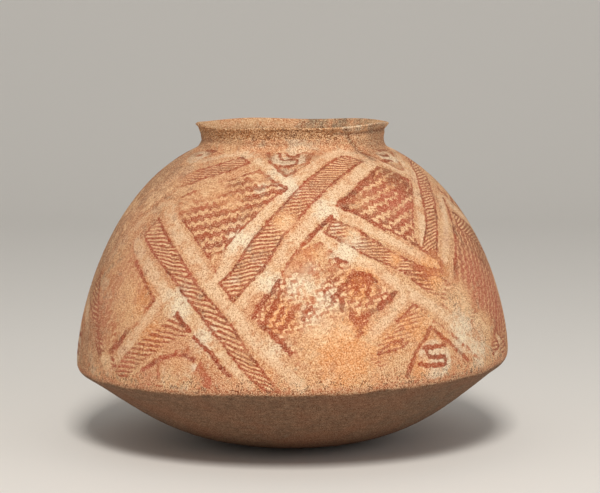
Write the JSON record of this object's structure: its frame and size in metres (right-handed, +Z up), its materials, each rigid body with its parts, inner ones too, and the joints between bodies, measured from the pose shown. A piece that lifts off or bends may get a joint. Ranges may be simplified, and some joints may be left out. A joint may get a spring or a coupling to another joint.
{
  "type": "pottery jar",
  "caption": "Hand-built round-based jar with a sharply turned low shoulder, a domed painted wall, a short neck and an everted rim, for storing dry goods or water.",
  "frame": {"origin": "middle of the worn flat foot, on the surface the jar stands on", "axes": "+Z up through the mouth, -Y towards the front of the jar, +X to its right"},
  "size_m": [0.4448, 0.4448, 0.3287],
  "materials": {
    "bare_clay": "matt unslipped fired clay, scraped and smudged",
    "painted_clay": "matt buff slip with worn red iron paint"
  },
  "bodies": {
    "root": {"base_bowl": "bare_clay", "shoulder_coil": "painted_clay", "wall_coil_1": "painted_clay", "wall_coil_2": "painted_clay", "wall_coil_3": "painted_clay", "wall_coil_4": "painted_clay", "wall_coil_5": "painted_clay", "wall_coil_6": "painted_clay", "wall_coil_7": "painted_clay", "neck_coil": "painted_clay", "rim_coil": "painted_clay"}
  },
  "joints": []
}
